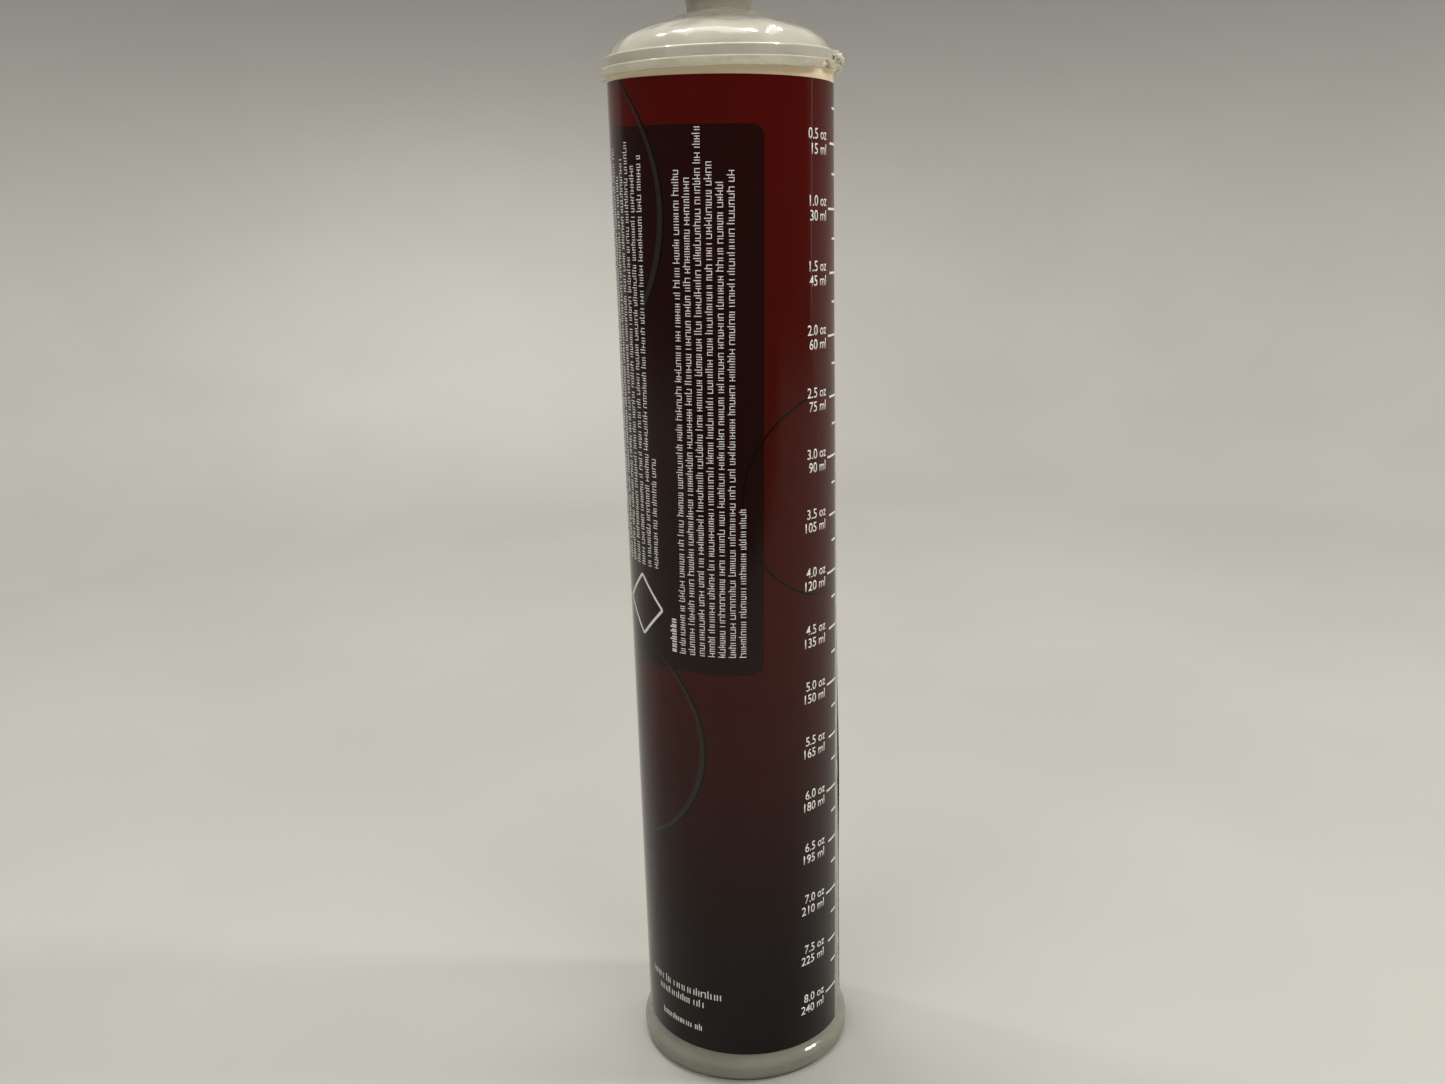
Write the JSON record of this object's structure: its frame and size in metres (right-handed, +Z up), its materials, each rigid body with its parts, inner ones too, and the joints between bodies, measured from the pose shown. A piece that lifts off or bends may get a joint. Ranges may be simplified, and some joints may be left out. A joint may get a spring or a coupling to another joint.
{
  "type": "injector fluid cartridge",
  "caption": "Slim translucent graduated fluid cartridge with a domed threaded head, screw cap, wrap label and a sealed sliding piston, for a caulking-gun type injector.",
  "frame": {"origin": "centre of the open base, on the surface the cartridge stands on", "axes": "+Z up along the tube towards the neck, +X near the bare strip between the label's ends"},
  "size_m": [0.0454, 0.0454, 0.2303],
  "materials": {
    "translucent_tube": "natural polypropylene, translucent, faintly yellow-grey",
    "translucent_head": "natural polypropylene, milky and glossy",
    "weld_plastic": "remelted polypropylene, whitish, ragged",
    "label_film": "glossy printed film, dark red fading to near black, white scale",
    "piston_plastic": "natural white polyethylene",
    "seal_rubber": "black nitrile",
    "cap_plastic": "black polypropylene, fine satin",
    "liner_foam": "white polyethylene foam"
  },
  "bodies": {
    "cartridge": {"barrel": "translucent_tube", "head": "translucent_head", "weld_bead": "weld_plastic", "label": "label_film"},
    "piston_set": {"piston": "piston_plastic", "piston_front_seal": "seal_rubber", "piston_rear_seal": "seal_rubber"},
    "liner": {"cap_liner": "liner_foam"},
    "cap": {"screw_cap": "cap_plastic"}
  },
  "joints": [
    {"name": "piston_travel", "type": "slide", "parent": "cartridge", "child": "piston_set", "axis": [0, 0, 1], "range_m": [0, 0.1873]},
    {"name": "cap_lift", "type": "slide", "parent": "cartridge", "child": "liner", "axis": [0, 0, 1], "range_m": [0, 0.00505]},
    {"name": "cap_turn", "type": "hinge", "parent": "liner", "child": "cap", "pos_m": [0, 0, 0.2255], "axis": [0, 0, 1], "range_deg": [0, 900]}
  ],
  "couplings": [
    {"joint": "cap_lift", "follows": "cap_turn", "m_per_rad": 0.00031831}
  ]
}
